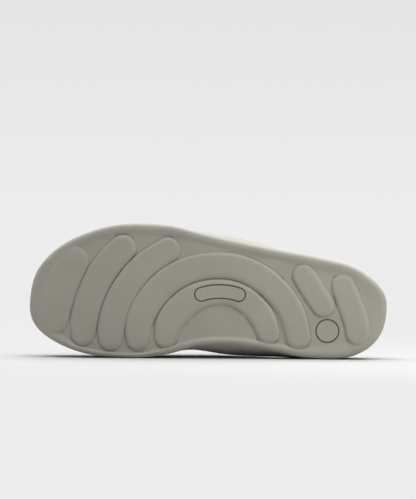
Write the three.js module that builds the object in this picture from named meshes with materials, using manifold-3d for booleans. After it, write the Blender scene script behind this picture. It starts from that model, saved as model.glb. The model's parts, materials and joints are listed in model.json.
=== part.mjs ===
// A closed-toe mule with an open back, for the left foot, moulded in soft grey foam.
// It lies on its medial side: the tread faces -Y, the toe points to -X and the lateral edge is up.
// The pieces are shaped in the shoe's own frame, in millimetres: x runs from heel to toe,
// y from the straight medial edge to the lateral edge, and z from the ground face up to the foot.

import * as THREE from 'three';
import Module from 'manifold-3d';

const wasm = await Module();
wasm.setup();

// Driving sizes of the whole shoe
const length = 270;
const ballWidth = 101;
const heelStack = 29;
const ballStack = 19;
const instepHeight = 52;
const toeSpring = 12;
const heelLift = 2;
const seam = 0.3;

// Outsole
const outsoleThickness = 7;
const webRecess = 1.6;
const rimRecess = 0.3;
const rimWidth = 6;
const rimBevel = 2.8;
const lugHalfWidth = 9;
const lugShoulder = 2.4;
const lugSlope = 4;
const toeShoulder = 9;
const rimFade = 7;

// Engraved outlines on the tread
const grooveWidth = 1.4;
const grooveDepth = 0.7;
const roundelRadius = 8.6;
const cartoucheHalfWidth = 4.9;

// Midsole
const medialFlare = 9.4;
const lateralFlare = 4.8;
const wallTaper = 1.5;
const flareReach = 43;
const flareTail = 67;
const lipWidth = 6.5;
const lipHeight = 7;
const lipRound = 1.2;

// Footbed
const footbedThickness = 5;
const footbedDish = 1.4;
const footbedBorder = 12;

// Upper
const wall = 3;
const ridgeShift = 6;
const sideBulge = 1.6;

// Shares of the length where a form starts, ends or peaks
const springStart = 0.74;
const heelLiftEnd = 0.055;
const flareCentre = 0.435;
const wingEnd = 0.3;
const throat = 0.54;

// Steps of the faceted shapes
const soleStations = 46;
const lugSteps = 5;
const upperStations = 22;
const upperTurns = 20;
const roundelSteps = 28;

// Sole outline. at is the share of the length from the heel, medial and lateral are shares of the
// ball width, and medialRim and lateralRim are shares of the rim's width.
const outlineRows = [
  { at: 0, medial: 0.396, lateral: 0.396, medialRim: 0.85, lateralRim: 0.85 },
  { at: 0.012, medial: 0.215, lateral: 0.512, medialRim: 0.9, lateralRim: 0.9 },
  { at: 0.046, medial: 0.093, lateral: 0.607, medialRim: 0.95, lateralRim: 1 },
  { at: 0.1, medial: 0.018, lateral: 0.695, medialRim: 1.05, lateralRim: 1.05 },
  { at: 0.16, medial: 0, lateral: 0.737, medialRim: 1.05, lateralRim: 1.05 },
  { at: 0.24, medial: 0.011, lateral: 0.78, medialRim: 1, lateralRim: 1.05 },
  { at: 0.32, medial: 0.057, lateral: 0.818, medialRim: 0.95, lateralRim: 1.05 },
  { at: 0.4, medial: 0.091, lateral: 0.862, medialRim: 0.9, lateralRim: 1.05 },
  { at: 0.46, medial: 0.103, lateral: 0.895, medialRim: 0.85, lateralRim: 1.05 },
  { at: 0.53, medial: 0.089, lateral: 0.939, medialRim: 0.85, lateralRim: 1.05 },
  { at: 0.6, medial: 0.034, lateral: 0.985, medialRim: 0.9, lateralRim: 1.1 },
  { at: 0.68, medial: 0, lateral: 1, medialRim: 0.6, lateralRim: 1.1 },
  { at: 0.76, medial: 0.002, lateral: 0.99, medialRim: 0.58, lateralRim: 1.05 },
  { at: 0.84, medial: 0.027, lateral: 0.93, medialRim: 0.65, lateralRim: 1 },
  { at: 0.91, medial: 0.091, lateral: 0.838, medialRim: 0.7, lateralRim: 1 },
  { at: 0.96, medial: 0.172, lateral: 0.72, medialRim: 0.65, lateralRim: 0.9 },
  { at: 0.988, medial: 0.255, lateral: 0.594, medialRim: 0.65, lateralRim: 0.8 },
  { at: 1, medial: 0.376, lateral: 0.376, medialRim: 0.75, lateralRim: 0.75 },
];

// Heights along the shoe. drop is the share of the difference between heel and ball stack, lip is
// the share of the lip's height, crown is the share of the instep's height above the lip, and fade
// is the share of the rim's fade, by which its inner slope is longer at the heel and the toe.
const heightRows = [
  { at: 0, drop: 1, lip: 1, crown: 0.9, fade: 1 },
  { at: 0.12, drop: 1, lip: 1, crown: 0.95, fade: 0.6 },
  { at: 0.3, drop: 0.74, lip: 0.95, crown: 0.97, fade: 0 },
  { at: 0.45, drop: 0.36, lip: 0.85, crown: 1, fade: 0 },
  { at: 0.56, drop: 0.12, lip: 0.7, crown: 0.96, fade: 0 },
  { at: 0.68, drop: 0, lip: 0.6, crown: 0.82, fade: 0 },
  { at: 0.8, drop: -0.08, lip: 0.55, crown: 0.63, fade: 0 },
  { at: 0.9, drop: -0.14, lip: 0.5, crown: 0.5, fade: 0.25 },
  { at: 0.965, drop: -0.16, lip: 0.5, crown: 0.35, fade: 1 },
  { at: 1, drop: -0.18, lip: 0.5, crown: 0, fade: 1 },
];

// Tread lugs, each a round-ended band along a spine. at is the share of the length, side the share
// of the ball width, and half the share of a lug's half width.
const lugRows = {
  toe: [
    { at: 0.928, side: 0.28, half: 0.83 },
    { at: 0.923, side: 0.35, half: 0.93 },
    { at: 0.914, side: 0.44, half: 0.98 },
    { at: 0.9, side: 0.55, half: 0.98 },
    { at: 0.883, side: 0.65, half: 0.95 },
    { at: 0.873, side: 0.705, half: 0.9 },
  ],
  foreToe: [
    { at: 0.853, side: 0.175, half: 0.86 },
    { at: 0.85, side: 0.26, half: 1 },
    { at: 0.842, side: 0.38, half: 1.02 },
    { at: 0.826, side: 0.5, half: 1.04 },
    { at: 0.806, side: 0.61, half: 1.06 },
    { at: 0.774, side: 0.732, half: 1.03 },
    { at: 0.741, side: 0.825, half: 0.98 },
  ],
  ball: [
    { at: 0.776, side: 0.14, half: 0.86 },
    { at: 0.774, side: 0.22, half: 1 },
    { at: 0.766, side: 0.32, half: 1.02 },
    { at: 0.749, side: 0.442, half: 1.02 },
    { at: 0.722, side: 0.567, half: 1.01 },
    { at: 0.678, side: 0.699, half: 0.98 },
    { at: 0.616, side: 0.814, half: 0.93 },
  ],
  outerArch: [
    { at: 0.7, side: 0.135, half: 0.8 },
    { at: 0.7, side: 0.22, half: 0.94 },
    { at: 0.686, side: 0.34, half: 1.02 },
    { at: 0.658, side: 0.46, half: 1.04 },
    { at: 0.61, side: 0.59, half: 1.02 },
    { at: 0.55, side: 0.672, half: 0.97 },
    { at: 0.48, side: 0.704, half: 0.93 },
    { at: 0.41, side: 0.684, half: 0.95 },
    { at: 0.346, side: 0.6, half: 0.98 },
    { at: 0.296, side: 0.478, half: 0.98 },
    { at: 0.262, side: 0.34, half: 0.96 },
    { at: 0.2445, side: 0.165, half: 0.93 },
  ],
  innerArch: [
    { at: 0.621, side: 0.158, half: 0.82 },
    { at: 0.614, side: 0.25, half: 0.98 },
    { at: 0.582, side: 0.37, half: 1.06 },
    { at: 0.534, side: 0.465, half: 1 },
    { at: 0.478, side: 0.503, half: 0.93 },
    { at: 0.424, side: 0.485, half: 0.93 },
    { at: 0.378, side: 0.41, half: 0.95 },
    { at: 0.346, side: 0.31, half: 0.94 },
    { at: 0.328, side: 0.195, half: 0.84 },
  ],
  foreHeel: [
    { at: 0.183, side: 0.392, half: 0.84 },
    { at: 0.211, side: 0.505, half: 0.87 },
    { at: 0.236, side: 0.612, half: 0.85 },
  ],
  heel: [
    { at: 0.085, side: 0.187, half: 0.9 },
    { at: 0.092, side: 0.29, half: 0.92 },
    { at: 0.11, side: 0.42, half: 0.91 },
    { at: 0.126, side: 0.54, half: 0.88 },
  ],
};

// Engraved outlines: the roundel's centre, and the spine of the curved cartouche on the inner arch
const roundelCentre = { at: 0.1667, side: 0.208 };
const cartoucheRows = [
  { at: 0.52, side: 0.478, half: 1 },
  { at: 0.493, side: 0.494, half: 1.06 },
  { at: 0.4665, side: 0.498, half: 1.08 },
  { at: 0.44, side: 0.494, half: 1.06 },
  { at: 0.416, side: 0.473, half: 1 },
];

// Angle that spaces the stations closely at heel and toe, where the outline turns round.
function turnAt(at) {
  return Math.acos(1 - 2 * THREE.MathUtils.clamp(at, 0, 1));
}

function atTurn(turn) {
  return (1 - Math.cos(turn)) / 2;
}

// Value of a table's column at a share of the length, on a smooth curve through the rows.
function along(rows, column, at) {
  const turn = turnAt(at);
  const last = rows.length - 1;
  let k = 0;
  while (k < last - 1 && turnAt(rows[k + 1].at) < turn) k += 1;
  const knot = (i) => ({ t: turnAt(rows[i].at), v: rows[i][column] });
  const slope = (i) => {
    const a = knot(Math.max(i - 1, 0));
    const b = knot(Math.min(i + 1, last));
    return (b.v - a.v) / (b.t - a.t);
  };
  const a = knot(k);
  const b = knot(k + 1);
  const span = b.t - a.t;
  const u = (turn - a.t) / span;
  const rise = u * u * (3 - 2 * u);
  const leave = u * (1 - u) * (1 - u) * span * slope(k);
  const arrive = u * u * (u - 1) * span * slope(k + 1);
  return a.v + (b.v - a.v) * rise + leave + arrive;
}

// Height that toe spring and heel bevel add to every piece above a point of the ground face.
function lift(x) {
  const at = x / length;
  const toe = Math.max(0, (at - springStart) / (1 - springStart));
  const heel = Math.max(0, (heelLiftEnd - at) / heelLiftEnd);
  return toeSpring * toe ** 2 + heelLift * heel ** 2;
}

function footbedTop(at) {
  return ballStack + (heelStack - ballStack) * along(heightRows, 'drop', at);
}

function lipTop(at) {
  return footbedTop(at) + lipHeight * along(heightRows, 'lip', at);
}

// Swelling of the foam body beyond the outsole at the waist, from 0 to 1. It fades out further
// towards the heel than towards the toe.
function waist(at) {
  const away = (at - flareCentre) * length;
  const reach = Math.min(1, away > 0 ? away / flareReach : -away / flareTail);
  return Math.max(0, Math.cos((reach * Math.PI) / 2)) ** 1.5;
}

// Point of the sole outline on one side, moved outwards by grow.
function edge(turn, side, grow) {
  const place = (t) => {
    const at = atTurn(t);
    return new THREE.Vector2(at * length, along(outlineRows, side, at) * ballWidth);
  };
  const reach = 0.02;
  const ahead = place(Math.min(turn + reach, Math.PI));
  const behind = place(Math.max(turn - reach, 0));
  const way = ahead.sub(behind).normalize();
  if (turn < reach) way.set(0, side === 'medial' ? -1 : 1);
  if (turn > Math.PI - reach) way.set(0, side === 'medial' ? 1 : -1);
  const outward = side === 'medial' ? new THREE.Vector2(way.y, -way.x) : new THREE.Vector2(-way.y, way.x);
  return place(turn).addScaledVector(outward, grow);
}

// Closed loop round the sole: heel tip, medial side, toe tip, lateral side.
// grow(at, side) moves it outwards and height(at) sets it above the ground face.
function soleLoop(grow, height) {
  const loop = [];
  const add = (step, side) => {
    const turn = (step / soleStations) * Math.PI;
    const at = atTurn(turn);
    const spot = edge(turn, side, grow(at, side));
    loop.push(new THREE.Vector3(spot.x, spot.y, height(at) + lift(spot.x)));
  };
  for (let step = 0; step <= soleStations; step += 1) add(step, 'medial');
  for (let step = soleStations - 1; step > 0; step -= 1) add(step, 'lateral');
  return loop;
}

// Spine of a round-ended band, sampled along a smooth curve through its rows.
function spineOf(rows, halfWidth) {
  const points = rows.map((row) => (
    new THREE.Vector3(row.at * length, row.side * ballWidth, row.half * halfWidth)
  ));
  const curve = new THREE.CatmullRomCurve3(points);
  const count = (rows.length - 1) * 3;
  return curve.getSpacedPoints(count).map((spot, i) => {
    const way = curve.getTangentAt(i / count);
    return { x: spot.x, y: spot.y, half: spot.z, way: new THREE.Vector2(way.x, way.y).normalize() };
  });
}

// Closed loop round a band: start tip, right-hand side, end tip, left-hand side. Each side is moved
// outwards by its own amount, and the round ends pass smoothly from one amount to the other.
function bandLoop(spine, growRight, growLeft, height) {
  const right = [];
  const left = [];
  const place = (knot, forward, hand) => {
    const radius = knot.half + (growRight * (1 + hand) + growLeft * (1 - hand)) / 2;
    const x = knot.x + radius * (knot.way.x * forward + knot.way.y * hand);
    const y = knot.y + radius * (knot.way.y * forward - knot.way.x * hand);
    return new THREE.Vector3(x, y, height + lift(x));
  };
  const addPair = (knot, forward, hand) => {
    right.push(place(knot, forward, hand));
    left.unshift(place(knot, forward, -hand));
  };
  const first = spine[0];
  const last = spine[spine.length - 1];
  for (let step = 1; step < lugSteps; step += 1) {
    const angle = (step / lugSteps) * (Math.PI / 2);
    addPair(first, -Math.cos(angle), Math.sin(angle));
  }
  for (const knot of spine) addPair(knot, 0, 1);
  for (let step = lugSteps - 1; step > 0; step -= 1) {
    const angle = (step / lugSteps) * (Math.PI / 2);
    addPair(last, Math.cos(angle), Math.sin(angle));
  }
  return [place(first, -1, 0), ...right, place(last, 1, 0), ...left];
}

function geometryOf(points, index) {
  const geometry = new THREE.BufferGeometry();
  geometry.setAttribute('position', new THREE.Float32BufferAttribute(points.flatMap((p) => [p.x, p.y, p.z]), 3));
  geometry.setIndex(index);
  return geometry;
}

// Triangles across a loop, as the rungs of a ladder from its one side to the other.
function ladder(first, count, faceDown) {
  const index = [];
  const middle = count / 2 - 1;
  for (let i = 0; i <= middle; i += 1) {
    const near = [i, i + 1];
    const far = [(count - i) % count, count - i - 1];
    const rung = [];
    if (i < middle) rung.push([near[0], near[1], far[1]]);
    if (i > 0) rung.push([near[0], far[1], far[0]]);
    for (const [a, b, c] of rung) {
      index.push(first + a, first + (faceDown ? c : b), first + (faceDown ? b : c));
    }
  }
  return index;
}

// Closed solid through a stack of loops: the first is closed facing down, the last facing up.
function stack(loops) {
  const count = loops[0].length;
  const index = [...ladder(0, count, true), ...ladder((loops.length - 1) * count, count, false)];
  for (let level = 0; level < loops.length - 1; level += 1) {
    for (let i = 0; i < count; i += 1) {
      const a = level * count + i;
      const b = level * count + ((i + 1) % count);
      index.push(a, b, b + count, a, b + count, a + count);
    }
  }
  return geometryOf(loops.flat(), index);
}

// Closed ring through loops that lie side by side: the last loop joins the first. With the inner,
// outer and tip loops of an engraved line it is the V-shaped cutter of its groove.
function tube(loops) {
  const count = loops[0].length;
  const index = [];
  loops.forEach((loop, level) => {
    const next = ((level + 1) % loops.length) * count;
    for (let i = 0; i < count; i += 1) {
      const a = level * count + i;
      const b = level * count + ((i + 1) % count);
      const c = next + ((i + 1) % count);
      const d = next + i;
      index.push(a, b, c, a, c, d);
    }
  });
  return geometryOf(loops.flat(), index);
}

function solidOf(geometry) {
  return new wasm.Manifold(new wasm.Mesh({
    numProp: 3,
    vertProperties: new Float32Array(geometry.getAttribute('position').array),
    triVerts: new Uint32Array(geometry.getIndex().array),
  }));
}

function geometryFrom(solid) {
  const mesh = solid.getMesh();
  const geometry = new THREE.BufferGeometry();
  geometry.setAttribute('position', new THREE.BufferAttribute(new Float32Array(mesh.vertProperties), 3));
  geometry.setIndex(new THREE.BufferAttribute(new Uint32Array(mesh.triVerts), 1));
  return geometry;
}

// Outsole: a plate with a raised, bevelled rim round a recessed web
function plate() {
  const rim = (share, slope) => (at, side) => (
    -rimWidth * share * along(outlineRows, `${side}Rim`, at) - rimFade * slope * along(heightRows, 'fade', at)
  );
  const inset = (amount) => () => -amount;
  const level = (height) => () => height;
  return stack([
    soleLoop(rim(1.2, 1), level(webRecess)),
    soleLoop(rim(0.95, 0.5), level((webRecess + rimRecess) / 2)),
    soleLoop(rim(0.75, 0), level(rimRecess)),
    soleLoop(inset(rimBevel * 0.85), level(rimRecess)),
    soleLoop(inset(rimBevel * 0.3), level(rimRecess + rimBevel * 0.3)),
    soleLoop(inset(0), level(rimRecess + rimBevel)),
    soleLoop(inset(0), level(outsoleThickness)),
  ]);
}

// One lug: a flat ground face, a steep shoulder on its right hand towards the toe, a soft slope on
// its left hand, and a foot sunk into the web. slope is the soft side's share beyond its edge line.
// shoulder is how far the steep side reaches from the face's edge to the web.
function lug(rows, shoulder) {
  const spine = spineOf(rows, lugHalfWidth);
  const reach = (share) => shoulder * share - lugShoulder;
  const slope = (share) => lugSlope * (share - 0.4);
  return stack([
    bandLoop(spine, reach(0), slope(0), 0),
    bandLoop(spine, reach(0.5), slope(0.4), webRecess * 0.12),
    bandLoop(spine, reach(0.82), slope(0.75), webRecess * 0.45),
    bandLoop(spine, reach(1), slope(1), webRecess),
    bandLoop(spine, reach(1), slope(1), (webRecess + outsoleThickness) / 2),
  ]);
}

// Cutter for the curved cartouche's outline, in the face of the inner arch
function cartoucheCutter() {
  const spine = spineOf(cartoucheRows, cartoucheHalfWidth);
  return tube([
    bandLoop(spine, -grooveWidth / 2, -grooveWidth / 2, -grooveDepth),
    bandLoop(spine, grooveWidth / 2, grooveWidth / 2, -grooveDepth),
    bandLoop(spine, 0, 0, grooveDepth),
  ]);
}

// Cutter for the roundel's outline, in the web
function roundelCutter() {
  const ring = (radius, height) => {
    const loop = [];
    for (let step = 0; step < roundelSteps; step += 1) {
      const angle = (step / roundelSteps) * 2 * Math.PI;
      const x = roundelCentre.at * length + radius * Math.cos(angle);
      const y = roundelCentre.side * ballWidth + radius * Math.sin(angle);
      loop.push(new THREE.Vector3(x, y, height + lift(x)));
    }
    return loop;
  };
  return tube([
    ring(roundelRadius - grooveWidth / 2, webRecess - grooveDepth),
    ring(roundelRadius + grooveWidth / 2, webRecess - grooveDepth),
    ring(roundelRadius, webRecess + grooveDepth),
  ]);
}

function outsole() {
  let solid = solidOf(plate());
  for (const [name, rows] of Object.entries(lugRows)) {
    const shoulder = name === 'toe' ? toeShoulder : lugShoulder;
    solid = solid.add(solidOf(lug(rows, shoulder)));
  }
  solid = solid.subtract(solidOf(cartoucheCutter()));
  solid = solid.subtract(solidOf(roundelCutter()));
  return geometryFrom(solid);
}

// Midsole: a flared foam wall with a rounded lip, cupped to take the footbed
function midsole() {
  const flare = { medial: medialFlare, lateral: lateralFlare };
  const grow = (share, inset) => (at, side) => flare[side] * waist(at) * share - inset;
  const bottom = outsoleThickness + seam;
  const height = (share, drop) => (at) => bottom + (lipTop(at) - bottom) * share - drop;
  const floor = (at) => footbedTop(at) - footbedThickness;
  return stack([
    soleLoop(grow(0, lipRound), () => bottom),
    soleLoop(grow(0.12, lipRound * 0.4), height(0.06, 0)),
    soleLoop(grow(0.62, wallTaper * 0.35), height(0.35, 0)),
    soleLoop(grow(0.96, wallTaper * 0.68), height(0.68, 0)),
    soleLoop(grow(1, wallTaper + lipRound * 0.1), height(1, lipRound)),
    soleLoop(grow(1, wallTaper + lipRound), height(1, 0)),
    soleLoop(grow(1, wallTaper + lipWidth - lipRound), height(1, 0)),
    soleLoop(grow(1, wallTaper + lipWidth), height(1, lipRound)),
    soleLoop(grow(1, wallTaper + lipWidth + lipRound), floor),
  ]);
}

// Footbed: a soft insert with a rounded edge and a shallow dish for the foot
function footbed() {
  const flare = { medial: medialFlare, lateral: lateralFlare };
  const side = wallTaper + lipWidth + lipRound + seam;
  const grow = (inset) => (at, hand) => flare[hand] * waist(at) - inset;
  const height = (drop) => (at) => footbedTop(at) - drop;
  return stack([
    soleLoop(grow(side), height(footbedThickness - seam)),
    soleLoop(grow(side), height(lipRound)),
    soleLoop(grow(side + lipRound), height(0)),
    soleLoop(grow(side + footbedBorder), height(footbedDish)),
  ]);
}

// Point of the upper's skin. turn places it along the shoe, sweep from 0 at the medial base over
// the crown to 1 at the lateral base, and depth moves it from the outer face into the wall.
function skin(turn, sweep, depth) {
  const flare = { medial: medialFlare, lateral: lateralFlare };
  const at = atTurn(turn);
  const inset = wallTaper + lipRound + depth;
  const medial = edge(turn, 'medial', flare.medial * waist(at) - inset);
  const lateral = edge(turn, 'lateral', flare.lateral * waist(at) - inset);
  const angle = sweep * Math.PI;
  const across = Math.sign(Math.cos(angle)) * Math.abs(Math.cos(angle)) ** 0.8;
  const rise = Math.sin(angle) ** 0.8;
  const spot = medial.clone().add(lateral).multiplyScalar(0.5);
  spot.addScaledVector(medial.clone().sub(lateral), across / 2);
  const size = Math.sin(turn) ** 0.5;
  const bulge = sideBulge * size * across * Math.sin(rise * Math.PI);
  const crown = Math.max(0, instepHeight * along(heightRows, 'crown', at) - depth);
  const y = spot.y - bulge - ridgeShift * size * rise ** 2;
  return new THREE.Vector3(spot.x, y, lipTop(at) + seam + crown * rise + lift(spot.x));
}

// Collar line: the station where the upper starts, for each sweep round the foot.
function collarTurn(sweep) {
  const rise = Math.sin(sweep * Math.PI);
  return turnAt(wingEnd + (throat - wingEnd) * rise ** 0.9);
}

// Upper: one shell, open at the collar and underneath, with a rounded collar edge
function upper() {
  const points = [];
  const index = [];
  const rows = upperStations + 1;
  const columns = upperTurns + 1;
  const turnOf = (row, sweep) => {
    const start = collarTurn(sweep);
    return start + (Math.PI - start) * (row / upperStations);
  };
  const addSkin = (depth) => {
    const first = points.length;
    for (let column = 0; column < columns; column += 1) {
      for (let row = 0; row < rows - 1; row += 1) {
        const sweep = column / upperTurns;
        points.push(skin(turnOf(row, sweep), sweep, depth));
      }
    }
    points.push(skin(Math.PI, 0, depth));
    const tip = points.length - 1;
    return (row, column) => (row === rows - 1 ? tip : first + column * (rows - 1) + row);
  };
  const outer = addSkin(0);
  const inner = addSkin(wall);
  const face = (a, b, c) => {
    if (a !== b && b !== c && c !== a) index.push(a, b, c);
  };
  const quad = (a, b, c, d) => {
    face(a, b, c);
    face(a, c, d);
  };
  for (let column = 0; column < columns - 1; column += 1) {
    for (let row = 0; row < rows - 1; row += 1) {
      quad(outer(row, column), outer(row + 1, column), outer(row + 1, column + 1), outer(row, column + 1));
      quad(inner(row, column), inner(row, column + 1), inner(row + 1, column + 1), inner(row + 1, column));
    }
    quad(outer(0, column), outer(0, column + 1), inner(0, column + 1), inner(0, column));
  }
  for (let row = 0; row < rows - 1; row += 1) {
    quad(outer(row, 0), inner(row, 0), inner(row + 1, 0), outer(row + 1, 0));
    const end = columns - 1;
    quad(outer(row + 1, end), inner(row + 1, end), inner(row, end), outer(row, end));
  }
  return geometryOf(points, index);
}

const finishes = {
  outsole: { color: 0x99968a, roughness: 0.85 },
  midsole: { color: 0x9c998d, roughness: 0.8 },
  footbed: { color: 0xa3a094, roughness: 0.9 },
  upper: { color: 0xa09d92, roughness: 0.75 },
};

function piece(name, geometry) {
  const mesh = new THREE.Mesh(geometry, new THREE.MeshStandardMaterial({ ...finishes[name], metalness: 0 }));
  mesh.name = name;
  return mesh;
}

const shoe = new THREE.Group();
shoe.add(piece('outsole', outsole()));
shoe.add(piece('midsole', midsole()));
shoe.add(piece('footbed', footbed()));
shoe.add(piece('upper', upper()));

// Laid on its side: toe to -X, tread to -Y, lateral edge up
shoe.quaternion.setFromRotationMatrix(new THREE.Matrix4().makeBasis(
  new THREE.Vector3(-1, 0, 0),
  new THREE.Vector3(0, 0, 1),
  new THREE.Vector3(0, 1, 0),
));

// Vertices of some pieces, in the shoe's own frame
function verticesOf(names) {
  return shoe.children.filter((mesh) => names.includes(mesh.name)).flatMap((mesh) => {
    const position = mesh.geometry.getAttribute('position');
    return Array.from({ length: position.count }, (_, i) => new THREE.Vector3().fromBufferAttribute(position, i));
  });
}

// Lean at which the sole's medial edge and the upper's medial side both touch the floor
function restingLean() {
  const edgePoint = verticesOf(['outsole']).reduce((a, b) => (b.y < a.y || (b.y === a.y && b.z > a.z) ? b : a));
  const above = verticesOf(['midsole', 'upper']).filter((p) => p.z > edgePoint.z + lipHeight);
  return Math.min(...above.map((p) => Math.atan2(p.y - edgePoint.y, p.z - edgePoint.z)));
}

const leaning = new THREE.Group();
leaning.rotation.x = -restingLean();
leaning.add(shoe);

// Origin at the middle of the box's floor
const part = new THREE.Group();
part.add(leaning);
part.updateMatrixWorld(true);
const box = new THREE.Box3().setFromObject(part, true);
const middle = box.getCenter(new THREE.Vector3());
leaning.position.set(-middle.x, -middle.y, -box.min.z);
part.updateMatrixWorld(true);

export default part;
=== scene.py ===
# %% [markdown]
# # A moulded foam mule, lying on its side
#
# The object is one left-foot mule of soft grey foam. It lies on its medial side, the straighter side
# of the foot, and turns its tread to the camera. Its four mouldings are packed as CAD solids:
# outsole, midsole, footbed and upper. This lesson gives each of them the soft edges, the fine skin
# and the small lines of real moulded foam, without moving or resizing anything.

# %% The fixed frame
import json
import math

import bpy
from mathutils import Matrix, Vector


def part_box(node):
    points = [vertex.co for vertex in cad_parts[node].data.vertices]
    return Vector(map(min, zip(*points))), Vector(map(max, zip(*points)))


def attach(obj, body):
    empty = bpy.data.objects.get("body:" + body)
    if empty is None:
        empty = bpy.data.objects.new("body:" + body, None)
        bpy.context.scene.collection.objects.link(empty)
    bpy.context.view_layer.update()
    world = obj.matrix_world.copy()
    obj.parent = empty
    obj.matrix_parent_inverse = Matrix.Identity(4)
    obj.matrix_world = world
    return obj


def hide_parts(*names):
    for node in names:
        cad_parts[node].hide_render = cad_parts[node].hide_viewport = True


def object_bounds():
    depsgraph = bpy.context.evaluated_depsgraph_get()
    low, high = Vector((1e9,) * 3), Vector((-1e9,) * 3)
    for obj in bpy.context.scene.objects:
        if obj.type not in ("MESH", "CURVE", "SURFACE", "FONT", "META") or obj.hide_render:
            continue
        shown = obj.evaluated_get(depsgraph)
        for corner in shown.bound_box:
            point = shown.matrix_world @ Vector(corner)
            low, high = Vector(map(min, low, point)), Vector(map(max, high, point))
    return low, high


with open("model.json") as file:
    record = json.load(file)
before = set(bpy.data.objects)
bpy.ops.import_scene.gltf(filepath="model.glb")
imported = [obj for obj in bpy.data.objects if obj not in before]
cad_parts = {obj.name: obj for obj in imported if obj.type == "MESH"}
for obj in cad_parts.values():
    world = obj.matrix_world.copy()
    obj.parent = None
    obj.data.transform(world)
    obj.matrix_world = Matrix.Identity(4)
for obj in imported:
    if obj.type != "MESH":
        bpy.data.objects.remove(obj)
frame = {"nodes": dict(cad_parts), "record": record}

cad_low, cad_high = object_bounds()
print("CAD box in mm:", [round(1000 * v, 1) for v in (*cad_low, *cad_high)])

# %% [markdown]
# ## Working by hand, in code
#
# An operator acts on whatever is selected, and the loaded nodes all are. So every step starts from
# an empty selection, and one object at a time is made active. A CAD node is made of loose triangles,
# so a copy of it is merged into one skin before anything else is done to it.

# %% Selection and modifiers
def only(piece):
    bpy.ops.object.select_all(action="DESELECT")
    piece.select_set(True)
    bpy.context.view_layer.objects.active = piece
    return piece


def apply_modifier(piece, name, kind, **settings):
    only(piece)
    modifier = piece.modifiers.new(name, kind)
    for key, value in settings.items():
        setattr(modifier, key, value)
    bpy.ops.object.modifier_apply(modifier=modifier.name)
    return piece


def triangles(piece):
    return sum(len(face.vertices) - 2 for face in piece.data.polygons)


bpy.ops.object.select_all(action="DESELECT")

# %% A merged copy of a CAD node
MERGE = 0.00002
QUAD_FACE_ANGLE = math.radians(30)
QUAD_SHAPE_ANGLE = math.radians(60)


def skin_of(node, name):
    piece = bpy.data.objects.new(name, frame["nodes"][node].data.copy())
    bpy.context.scene.collection.objects.link(piece)
    piece.data.materials.clear()
    only(piece)
    bpy.ops.object.mode_set(mode="EDIT")
    bpy.ops.mesh.select_all(action="SELECT")
    bpy.ops.mesh.remove_doubles(threshold=MERGE)
    bpy.ops.mesh.tris_convert_to_quads(
        face_threshold=QUAD_FACE_ANGLE,
        shape_threshold=QUAD_SHAPE_ANGLE,
    )
    bpy.ops.object.mode_set(mode="OBJECT")
    return piece


def seat(piece, node):
    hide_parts(node)
    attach(piece, "root")
    print(piece.name, "has", triangles(piece), "triangles")


# %% [markdown]
# ## The camera
#
# The photograph looks straight at the tread with a long lens, from just above the floor. The sole
# spans 357 of the picture's 416 pixels, so a lens and a distance give the scale, and the sole's place
# in the picture gives the point that the camera looks at. The picture is turned by less than half a
# degree, which shows in the line where the shoe meets the floor.

# %% Camera
PICTURE_WIDTH = 416
PICTURE_HEIGHT = 499
SOLE_SPAN = 357.4
SOLE_MIDDLE = 208.4
FLOOR_LINE = 358.2
LENS = 200
SENSOR = 36
CAMERA_RISE = math.radians(0.35)
CAMERA_ROLL = math.radians(-0.4)

metres_per_pixel = (cad_high.x - cad_low.x) / SOLE_SPAN
camera_distance = metres_per_pixel * PICTURE_HEIGHT * LENS / SENSOR
tread_y = (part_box("outsole")[0].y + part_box("outsole")[1].y) / 2
aim = Vector((
    (PICTURE_WIDTH / 2 - SOLE_MIDDLE) * metres_per_pixel,
    tread_y,
    (FLOOR_LINE - PICTURE_HEIGHT / 2) * metres_per_pixel,
))
bpy.ops.object.camera_add(
    location=aim + camera_distance * Vector((0, -math.cos(CAMERA_RISE), math.sin(CAMERA_RISE))),
    rotation=(math.pi / 2 - CAMERA_RISE, CAMERA_ROLL, 0),
)
camera = bpy.context.object
camera.name = "camera"
camera.data.lens = LENS
camera.data.sensor_width = SENSOR
bpy.context.scene.camera = camera
print("camera stands", round(camera_distance, 2), "m away")

# %% [markdown]
# ## The light and the floor
#
# The shoe stands in a white studio. A broad light overhead makes the upward faces and the floor the
# brightest. The white walls light it from all sides, but the side where the photographer stands is
# dimmer, so the tread's flats are darker than every edge that turns away from them. A weak softbox by
# the heel lets the tread fall off towards the toe. The floor is one plain pale sheet that reaches far
# beyond the picture, and the backdrop that the camera sees gets slightly darker as it rises from it.

# %% Studio
BACKDROP_LOW = 0.847
BACKDROP_HIGH = 0.78
BACKDROP_RISE = 0.09
WALL_LIGHT = 0.42
FRONT_LIGHT = 0.05
FRONT_START = -1
FRONT_END = 0.1
OVERHEAD_STRENGTH = 4.7
OVERHEAD_SPREAD = math.radians(80)
OVERHEAD_TILT = math.radians(-8)
HEEL_LIGHT_WATTS = 0.2
HEEL_LIGHT_SIZE = 0.25
HEEL_LIGHT_SPREAD = math.radians(75)
HEEL_LIGHT_PLACE = Vector((0.4, -0.34, 0.3))
HEEL_LIGHT_AIM = Vector((0.1, 0, 0.07))
FLOOR_RADIUS = 14
FLOOR_CORNERS = 96
FLOOR_TONE = (0.465, 0.465, 0.465)


def set_inputs(node, values):
    for name, value in values.items():
        node.inputs[name].default_value = value


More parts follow.
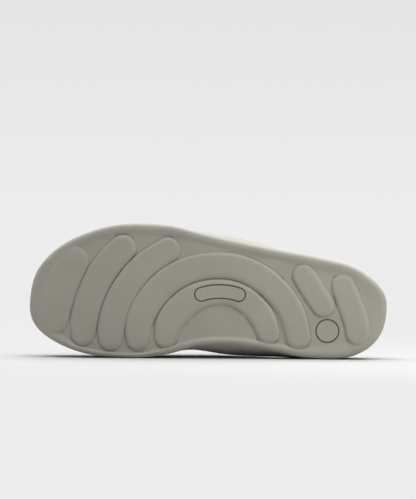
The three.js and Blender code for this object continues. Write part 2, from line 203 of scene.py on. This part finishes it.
def white_studio():
    world = bpy.data.worlds.new("white surroundings")
    world.use_nodes = True
    tree = world.node_tree
    walls = tree.nodes["Background"]
    place = tree.nodes.new("ShaderNodeTexCoord")
    way = tree.nodes.new("ShaderNodeSeparateXYZ")
    front = tree.nodes.new("ShaderNodeMapRange")
    front.interpolation_type = "SMOOTHSTEP"
    set_inputs(front, {"From Min": FRONT_START, "From Max": FRONT_END})
    set_inputs(front, {"To Min": FRONT_LIGHT, "To Max": WALL_LIGHT})
    rise = tree.nodes.new("ShaderNodeMapRange")
    set_inputs(rise, {"From Max": BACKDROP_RISE, "To Min": BACKDROP_LOW, "To Max": BACKDROP_HIGH})
    backdrop = tree.nodes.new("ShaderNodeBackground")
    backdrop.inputs["Color"].default_value = (1, 1, 1, 1)
    walls.inputs["Color"].default_value = (1, 1, 1, 1)
    seen = tree.nodes.new("ShaderNodeLightPath")
    choice = tree.nodes.new("ShaderNodeMixShader")
    tree.links.new(place.outputs["Generated"], way.inputs["Vector"])
    tree.links.new(way.outputs["Y"], front.inputs["Value"])
    tree.links.new(front.outputs["Result"], walls.inputs["Strength"])
    tree.links.new(way.outputs["Z"], rise.inputs["Value"])
    tree.links.new(rise.outputs["Result"], backdrop.inputs["Strength"])
    tree.links.new(seen.outputs["Is Camera Ray"], choice.inputs["Fac"])
    tree.links.new(walls.outputs["Background"], choice.inputs[1])
    tree.links.new(backdrop.outputs["Background"], choice.inputs[2])
    tree.links.new(choice.outputs["Shader"], tree.nodes["World Output"].inputs["Surface"])
    return world


bpy.context.scene.world = white_studio()
bpy.context.scene.view_settings.view_transform = "Standard"

bpy.ops.object.light_add(type="SUN", rotation=(OVERHEAD_TILT, 0, 0))
overhead = bpy.context.object
overhead.name = "overhead"
overhead.data.energy = OVERHEAD_STRENGTH
overhead.data.angle = OVERHEAD_SPREAD

bpy.ops.object.light_add(type="AREA", location=HEEL_LIGHT_PLACE)
heel_light = bpy.context.object
heel_light.name = "heel_softbox"
heel_light.data.energy = HEEL_LIGHT_WATTS
heel_light.data.size = HEEL_LIGHT_SIZE
heel_light.data.spread = HEEL_LIGHT_SPREAD
heel_light.rotation_euler = (HEEL_LIGHT_AIM - HEEL_LIGHT_PLACE).to_track_quat("-Z", "Y").to_euler()
heel_light.visible_camera = False

bpy.ops.mesh.primitive_circle_add(vertices=FLOOR_CORNERS, radius=FLOOR_RADIUS, fill_type="NGON")
floor = bpy.context.object
floor.name = "floor"
floor_paint = bpy.data.materials.new("pale floor")
floor_paint.use_nodes = True
floor_shader = floor_paint.node_tree.nodes["Principled BSDF"]
set_inputs(floor_shader, {"Base Color": (*FLOOR_TONE, 1), "Roughness": 1, "Specular IOR Level": 0})
floor.data.materials.append(floor_paint)
print("studio: an overhead light, a softbox and a floor of", FLOOR_RADIUS, "m radius")

# %% [markdown]
# ## The foam's skin
#
# Moulded foam has a closed skin with no gloss. Close up it shows a fine grain and a few pinpricks,
# and from a step away its colour is very slightly cloudy. One node group makes the grain and the
# clouding, paints shade into the creases and a painted highlight onto the edges, and each piece
# places it with its own values.

# %% Node helpers
def add_node(tree, kind, **settings):
    node = tree.nodes.new(kind)
    for key, value in settings.items():
        setattr(node, key, value)
    return node


def feed(tree, socket, value):
    if isinstance(value, (int, float)):
        socket.default_value = value
    else:
        tree.links.new(value, socket)


def noise(tree, vector, scale, detail):
    node = add_node(tree, "ShaderNodeTexNoise")
    node.inputs["Detail"].default_value = detail
    feed(tree, node.inputs["Scale"], scale)
    tree.links.new(vector, node.inputs["Vector"])
    return node.outputs["Fac"]


def maths(tree, operation, *values):
    node = add_node(tree, "ShaderNodeMath", operation=operation)
    for socket, value in zip(node.inputs, values):
        feed(tree, socket, value)
    return node.outputs[0]


def spread(tree, value, span, low, high):
    node = add_node(tree, "ShaderNodeMapRange", interpolation_type="SMOOTHSTEP")
    for name, number in zip(("From Min", "From Max", "To Min", "To Max"), (*span, low, high)):
        feed(tree, node.inputs[name], number)
    tree.links.new(value, node.inputs["Value"])
    return node.outputs["Result"]


# %% The foam group
CLOUD_SCALE = 38
CLOUD_DETAIL = 3
CLOUD_SPAN = (0.3, 0.7)
SPECK_SCALE = 420
SPECK_DETAIL = 1
SPECK_SPAN = (0.27, 0.34)
SPECK_TONES = (0.94, 1.0)
SPECK_HEIGHT = 0.6
GRAIN_DETAIL = 2
GRAIN_SPAN = (0.25, 0.75)
GRAIN_TONES = (0.965, 1.035)
# Pointiness spans for the painted shade in the creases and the painted highlight on the edges.
PAINTED_SHADE_SPAN = (0.462, 0.496)
PAINTED_HIGHLIGHT_SPAN = (0.506, 0.53)
ROUGH_SPAN = (0.2, 0.8)
ROUGHNESS = (0.74, 0.9)
GROUP_VALUES = (
    ("Clouding", 0.05),
    ("Grain Size", 0.0006),
    ("Painted Crease Shade", 0.3),
    ("Painted Edge Highlight", 0.05),
)


def foam_sockets(face):
    face.new_socket("Vector", in_out="INPUT", socket_type="NodeSocketVector")
    face.new_socket("Foam", in_out="INPUT", socket_type="NodeSocketColor")
    for name, value in GROUP_VALUES:
        socket = face.new_socket(name, in_out="INPUT", socket_type="NodeSocketFloat")
        socket.default_value = value
    face.new_socket("Color", in_out="OUTPUT", socket_type="NodeSocketColor")
    face.new_socket("Roughness", in_out="OUTPUT", socket_type="NodeSocketFloat")
    face.new_socket("Height", in_out="OUTPUT", socket_type="NodeSocketFloat")


def foam_tone(tree, given, clouds, specks, fine):
    low = maths(tree, "SUBTRACT", 1.0, given["Clouding"])
    high = maths(tree, "ADD", 1.0, given["Clouding"])
    cloudy = spread(tree, clouds, CLOUD_SPAN, low, high)
    pinpricks = spread(tree, specks, SPECK_SPAN, *SPECK_TONES)
    grainy = spread(tree, fine, GRAIN_SPAN, *GRAIN_TONES)
    shape = add_node(tree, "ShaderNodeNewGeometry")
    # Painted shade: low pointiness marks the creases, which are darkened to stand in for the shade that
    # falls in them.
    painted_shade_mask = spread(tree, shape.outputs["Pointiness"], PAINTED_SHADE_SPAN, 1.0, 0.0)
    # Painted highlight: high pointiness marks the convex edges, which are lightened to stand in for the
    # light they catch.
    painted_highlight_mask = spread(tree, shape.outputs["Pointiness"], PAINTED_HIGHLIGHT_SPAN, 0.0, 1.0)
    painted_shade_factor = maths(tree, "SUBTRACT", 1.0, maths(tree, "MULTIPLY", painted_shade_mask, given["Painted Crease Shade"]))
    painted_highlight_factor = maths(tree, "ADD", 1.0, maths(tree, "MULTIPLY", painted_highlight_mask, given["Painted Edge Highlight"]))
    tone = maths(tree, "MULTIPLY", cloudy, pinpricks)
    tone = maths(tree, "MULTIPLY", tone, maths(tree, "MULTIPLY", grainy, painted_shade_factor))
    return maths(tree, "MULTIPLY", tone, painted_highlight_factor)


def foam_group():
    tree = bpy.data.node_groups.new("foam skin", "ShaderNodeTree")
    foam_sockets(tree.interface)
    given = add_node(tree, "NodeGroupInput").outputs
    result = add_node(tree, "NodeGroupOutput").inputs

    clouds = noise(tree, given["Vector"], CLOUD_SCALE, CLOUD_DETAIL)
    specks = noise(tree, given["Vector"], SPECK_SCALE, SPECK_DETAIL)
    grain_scale = maths(tree, "DIVIDE", 1.0, given["Grain Size"])
    fine = noise(tree, given["Vector"], grain_scale, GRAIN_DETAIL)

    shade = add_node(tree, "ShaderNodeVectorMath", operation="SCALE")
    tree.links.new(given["Foam"], shade.inputs["Vector"])
    tree.links.new(foam_tone(tree, given, clouds, specks, fine), shade.inputs["Scale"])
    tree.links.new(shade.outputs["Vector"], result["Color"])
    tree.links.new(spread(tree, fine, ROUGH_SPAN, *ROUGHNESS), result["Roughness"])
    height = maths(tree, "ADD", fine, maths(tree, "MULTIPLY", specks, SPECK_HEIGHT))
    tree.links.new(height, result["Height"])
    return tree


skin_group = foam_group()
print("foam group:", len(skin_group.nodes), "nodes")

# %% Foam materials
BUMP_STRENGTH = 0.6
SPECULAR = 0.35


def foam(name, colour, clouding, grain_size, grain_depth, painted_crease_shade, painted_edge_highlight):
    material = bpy.data.materials.new(name)
    material.use_nodes = True
    tree = material.node_tree
    shader = tree.nodes["Principled BSDF"]
    place = add_node(tree, "ShaderNodeTexCoord")
    skin = add_node(tree, "ShaderNodeGroup", node_tree=skin_group)
    set_inputs(skin, {"Foam": (*colour, 1), "Clouding": clouding, "Grain Size": grain_size})
    set_inputs(skin, {"Painted Crease Shade": painted_crease_shade, "Painted Edge Highlight": painted_edge_highlight})
    bump = add_node(tree, "ShaderNodeBump")
    set_inputs(bump, {"Strength": BUMP_STRENGTH, "Distance": grain_depth})
    tree.links.new(place.outputs["Object"], skin.inputs["Vector"])
    tree.links.new(skin.outputs["Color"], shader.inputs["Base Color"])
    tree.links.new(skin.outputs["Roughness"], shader.inputs["Roughness"])
    tree.links.new(skin.outputs["Height"], bump.inputs["Height"])
    tree.links.new(bump.outputs["Normal"], shader.inputs["Normal"])
    shader.inputs["Specular IOR Level"].default_value = SPECULAR
    return material


TREAD_FOAM = (0.354, 0.341, 0.290)
BODY_FOAM = (0.390, 0.380, 0.340)
BED_FOAM = (0.400, 0.385, 0.335)

# The tread gets the strongest painted shade in its creases and painted highlight on its edges.
tread_finish = foam(
    "tread foam", TREAD_FOAM, clouding=0.03,
    grain_size=0.0005, grain_depth=0.00006, painted_crease_shade=0.6, painted_edge_highlight=0.14,
)
body_finish = foam(
    "body foam", BODY_FOAM, clouding=0.03,
    grain_size=0.0007, grain_depth=0.00008, painted_crease_shade=0.3, painted_edge_highlight=0.05,
)
bed_finish = foam(
    "footbed foam", BED_FOAM, clouding=0.04,
    grain_size=0.0011, grain_depth=0.00016, painted_crease_shade=0.25, painted_edge_highlight=0.05,
)
upper_finish = foam(
    "upper foam", BODY_FOAM, clouding=0.035,
    grain_size=0.0007, grain_depth=0.00008, painted_crease_shade=0.3, painted_edge_highlight=0.05,
)
print("materials:", [finish.name for finish in (tread_finish, body_finish, bed_finish, upper_finish)])

# %% [markdown]
# ## The outsole
#
# The tread is one moulding: a recessed web inside a raised rim, five curved bands and two heel lugs.
# Every edge of it is soft, because foam fills a mould's corners only roundly. Bevels on so many
# crossing edges would fail, so the merged copy is rebuilt as an even skin and then relaxed, which
# rounds all edges alike and keeps each lug's steep toe side and long heel side.

# %% Outsole skin
TREAD_VOXEL = 0.00057
TREAD_ROUNDS = 7
TREAD_SOFTENING = 0.5

outsole = skin_of("outsole", "tread")
apply_modifier(outsole, "even skin", "REMESH", mode="VOXEL", voxel_size=TREAD_VOXEL)
apply_modifier(outsole, "soft edges", "SMOOTH", factor=TREAD_SOFTENING, iterations=TREAD_ROUNDS)
print("outsole skin:", triangles(outsole), "triangles")

# %% [markdown]
# The back of the outsole lies hidden against the midsole. Its many small faces are collapsed, with a
# vertex group that keeps the collapse away from the tread. The share to keep asks for more than the
# back can give, so the collapse ends at a little more than that share.

# %% Plain back
BACK_KEEP = 0.5
BACK_FACING = -0.9
BACK_WEIGHT = 10

tread_normal = Vector(frame["record"]["mounts"][0]["axis"]).normalized()
back = outsole.vertex_groups.new(name="back")
for vertex in outsole.data.vertices:
    if vertex.normal.dot(tread_normal) < BACK_FACING:
        back.add([vertex.index], 1, "REPLACE")
apply_modifier(
    outsole, "plain back", "DECIMATE", decimate_type="COLLAPSE", ratio=BACK_KEEP,
    vertex_group="back", vertex_group_factor=BACK_WEIGHT, use_collapse_triangulate=True,
)
print("with a plain back:", triangles(outsole), "triangles")

# %% [markdown]
# Two fine outlines are pressed into the tread: a circle near the heel and a curved pill on the inner
# band. Each is a closed line, thickened to a round cord and taken out of the foam. Their places
# stay bare inside. A ray finds the surface in the middle of each, and the line keeps to the plane
# through it.

# %% Engraved outlines
LINE_RADIUS = 0.00066
LINE_DEPTH = 0.0001
LINE_ROUNDNESS = 3
RAY_START = -1
TREAD_SMOOTH_ANGLE = math.radians(35)
ROUNDEL_CENTRE = (0.0900, 0.0214)
ROUNDEL_RADIUS = 0.0086
PILL_MIDDLE = (0.0090, 0.0506)
PILL_ARC_RADIUS = 0.045
PILL_HALF_WIDTH = 0.0051
PILL_HALF_SPAN = math.radians(18.2)


def line_plane(x, z):
    start = Vector((x, RAY_START, z))
    spot = frame["nodes"]["outsole"].ray_cast(start, Vector((0, 1, 0)))[1]
    return (spot - tread_normal * LINE_DEPTH).dot(tread_normal)


def on_plane(x, z, plane):
    return (x, (plane - z * tread_normal.z) / tread_normal.y, z)


def circle_outline(steps=64):
    turns = [2 * math.pi * step / steps for step in range(steps)]
    x, z = ROUNDEL_CENTRE
    return [(x + ROUNDEL_RADIUS * math.cos(t), z + ROUNDEL_RADIUS * math.sin(t)) for t in turns]


def pill_outline(side_steps=24, end_steps=12):
    x, z = PILL_MIDDLE
    centre_z = z - PILL_ARC_RADIUS

    def at(radius, angle):
        return (x + radius * math.sin(angle), centre_z + radius * math.cos(angle))

    line = []
    for step in range(side_steps + 1):
        angle = PILL_HALF_SPAN * (2 * step / side_steps - 1)
        line.append(at(PILL_ARC_RADIUS + PILL_HALF_WIDTH, angle))
    for end, start in ((1, 0), (-1, math.pi)):
        cap_x, cap_z = at(PILL_ARC_RADIUS, end * PILL_HALF_SPAN)
        for step in range(1, end_steps):
            turn = start + math.pi / 2 - math.pi * step / end_steps - end * PILL_HALF_SPAN
            line.append((cap_x + PILL_HALF_WIDTH * math.cos(turn), cap_z + PILL_HALF_WIDTH * math.sin(turn)))
        if end == 1:
            for step in range(side_steps + 1):
                angle = PILL_HALF_SPAN * (1 - 2 * step / side_steps)
                line.append(at(PILL_ARC_RADIUS - PILL_HALF_WIDTH, angle))
    return line


def line_cord(name, outline, plane):
    curve = bpy.data.curves.new(name, "CURVE")
    curve.dimensions = "3D"
    curve.bevel_depth = LINE_RADIUS
    curve.bevel_resolution = LINE_ROUNDNESS
    spline = curve.splines.new("POLY")
    spline.points.add(len(outline) - 1)
    for knot, (x, z) in zip(spline.points, outline):
        knot.co = (*on_plane(x, z, plane), 1)
    spline.use_cyclic_u = True
    cord = bpy.data.objects.new(name, curve)
    bpy.context.scene.collection.objects.link(cord)
    only(cord)
    bpy.ops.object.convert(target="MESH")
    return bpy.context.object


for name, middle, outline in (
    ("roundel_line", ROUNDEL_CENTRE, circle_outline()),
    ("pill_line", PILL_MIDDLE, pill_outline()),
):
    cord = line_cord(name, outline, line_plane(*middle))
    apply_modifier(outsole, name, "BOOLEAN", operation="DIFFERENCE", solver="MANIFOLD", object=cord)
    bpy.data.objects.remove(cord)

only(outsole)
bpy.ops.object.shade_smooth_by_angle(angle=TREAD_SMOOTH_ANGLE)
outsole.data.materials.clear()
outsole.data.materials.append(tread_finish)
seat(outsole, "outsole")

# %% [markdown]
# ## The foam body, footbed and upper
#
# These three are smooth, swelling forms. Their CAD skins are even nets of quads, so a subdivision
# surface rounds the lip, the collar and the seams as a mould would, and keeps the shape between them.
# The cup's inner corner rounds as well, so the footbed's edge sinks into it by up to 2.4 mm. The
# footbed is the one soft, padded piece.

# %% Swelling forms
SWELL_LEVELS = 2


def swelling(node, name, finish):
    piece = skin_of(node, name)
    apply_modifier(piece, "round skin", "SUBSURF", levels=SWELL_LEVELS, render_levels=SWELL_LEVELS)
    only(piece)
    bpy.ops.object.shade_smooth()
    piece.data.materials.append(finish)
    seat(piece, node)
    return piece


swelling("midsole", "foam_body", body_finish)
bed = swelling("footbed", "soft_footbed", bed_finish)
swelling("upper", "closed_upper", upper_finish)

# %% [markdown]
# ## Sizes
#
# The finished model is meant to keep the CAD model's size.

# %% Sizes
bpy.context.view_layer.update()
